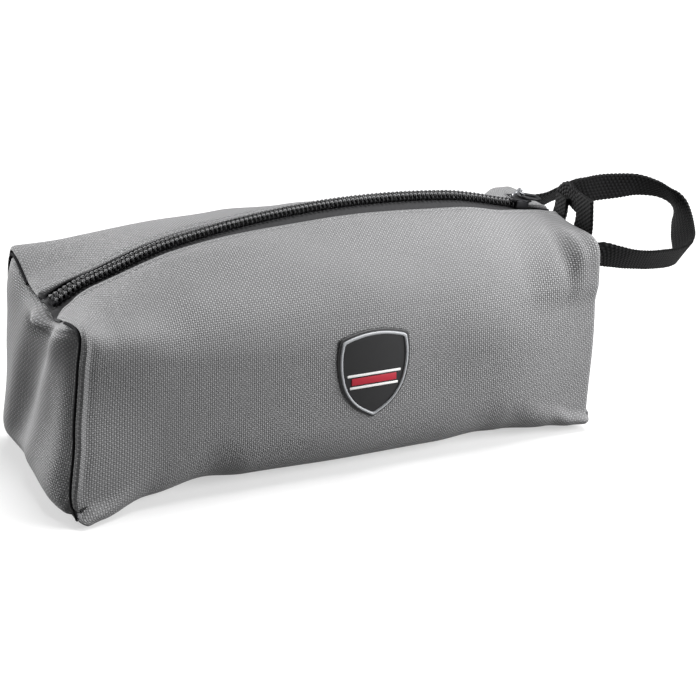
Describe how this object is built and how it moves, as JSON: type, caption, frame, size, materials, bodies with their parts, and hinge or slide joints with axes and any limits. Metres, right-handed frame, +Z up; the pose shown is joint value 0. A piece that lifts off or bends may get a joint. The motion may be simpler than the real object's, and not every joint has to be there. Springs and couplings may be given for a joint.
{
  "type": "zippered fabric pouch",
  "caption": "Box-shaped woven fabric pouch with an arched coil zipper along its top, a shield badge on the front and webbing loops at one end.",
  "frame": {"origin": "centre of the flat bottom between the two end seams", "axes": "+X along the bag to the end with the handle, +Z up, front panel with the badge facing -Y"},
  "size_m": [0.312, 0.0985, 0.1052],
  "materials": {
    "woven_fabric": "coarse plain weave",
    "binding_tape": "matte woven tape",
    "zipper_tape": "fine woven tape",
    "coil": "smooth nylon",
    "slider_metal": "dark satin plating",
    "webbing": "ribbed webbing",
    "badge_plate": "soft moulded",
    "badge_rim": "raised, satin",
    "badge_stripe": "moulded, matte",
    "badge_band": "moulded, matte"
  },
  "bodies": {
    "shell": {"body_panel": "woven_fabric", "left_end_panel": "woven_fabric", "right_end_panel": "woven_fabric", "left_binding": "binding_tape", "right_binding": "binding_tape", "front_tape_left": "zipper_tape", "front_tape_right": "zipper_tape", "back_tape_left": "zipper_tape", "back_tape_right": "zipper_tape", "front_coil_left": "coil", "front_coil_right": "coil", "back_coil_left": "coil", "back_coil_right": "coil", "left_stop": "slider_metal", "badge_plate": "badge_plate", "badge_rim": "badge_rim", "badge_stripe_upper": "badge_stripe", "badge_stripe_lower": "badge_stripe", "badge_band": "badge_band"},
    "front_lip": {"front_flap": "woven_fabric", "front_tape_middle": "zipper_tape", "front_coil_middle": "coil"},
    "back_lip": {"back_flap": "woven_fabric", "back_tape_middle": "zipper_tape", "back_coil_middle": "coil"},
    "slider": {"slider": "slider_metal"},
    "pull": {"pull_ring": "slider_metal"},
    "handle": {"handle": "webbing"},
    "hang_loop": {"hang_loop": "webbing"}
  },
  "joints": [
    {"name": "front_lip_hinge", "type": "hinge", "parent": "shell", "child": "front_lip", "pos_m": [0, -0.048, 0.072], "axis": [1, 0, 0], "range_deg": [0, 50]},
    {"name": "back_lip_hinge", "type": "hinge", "parent": "shell", "child": "back_lip", "pos_m": [0, 0.048, 0.072], "axis": [-1, 0, 0], "range_deg": [0, 50]},
    {"name": "slider_travel", "type": "hinge", "parent": "shell", "child": "slider", "pos_m": [0.014, 0, -0.2995], "axis": [0, -1, 0], "range_deg": [0, 29.1], "deforming": ["front_coil_left", "front_coil_middle", "front_coil_right", "back_coil_left", "back_coil_middle", "back_coil_right"]},
    {"name": "pull_swing", "type": "hinge", "parent": "slider", "child": "pull", "pos_m": [0.10345, 0, 0.09817], "axis": [0, -1, 0], "range_deg": [0, 160]},
    {"name": "handle_flex", "type": "hinge", "parent": "shell", "child": "handle", "pos_m": [0.1268, 0, 0.08], "axis": [0, -1, 0], "range_deg": [-45, 45], "stiffness_Nm_per_rad": 0.05},
    {"name": "hang_loop_flex", "type": "hinge", "parent": "shell", "child": "hang_loop", "pos_m": [0.1203, -0.015, 0.086], "axis": [0, 1, 0], "range_deg": [0, 60], "stiffness_Nm_per_rad": 0.01}
  ]
}
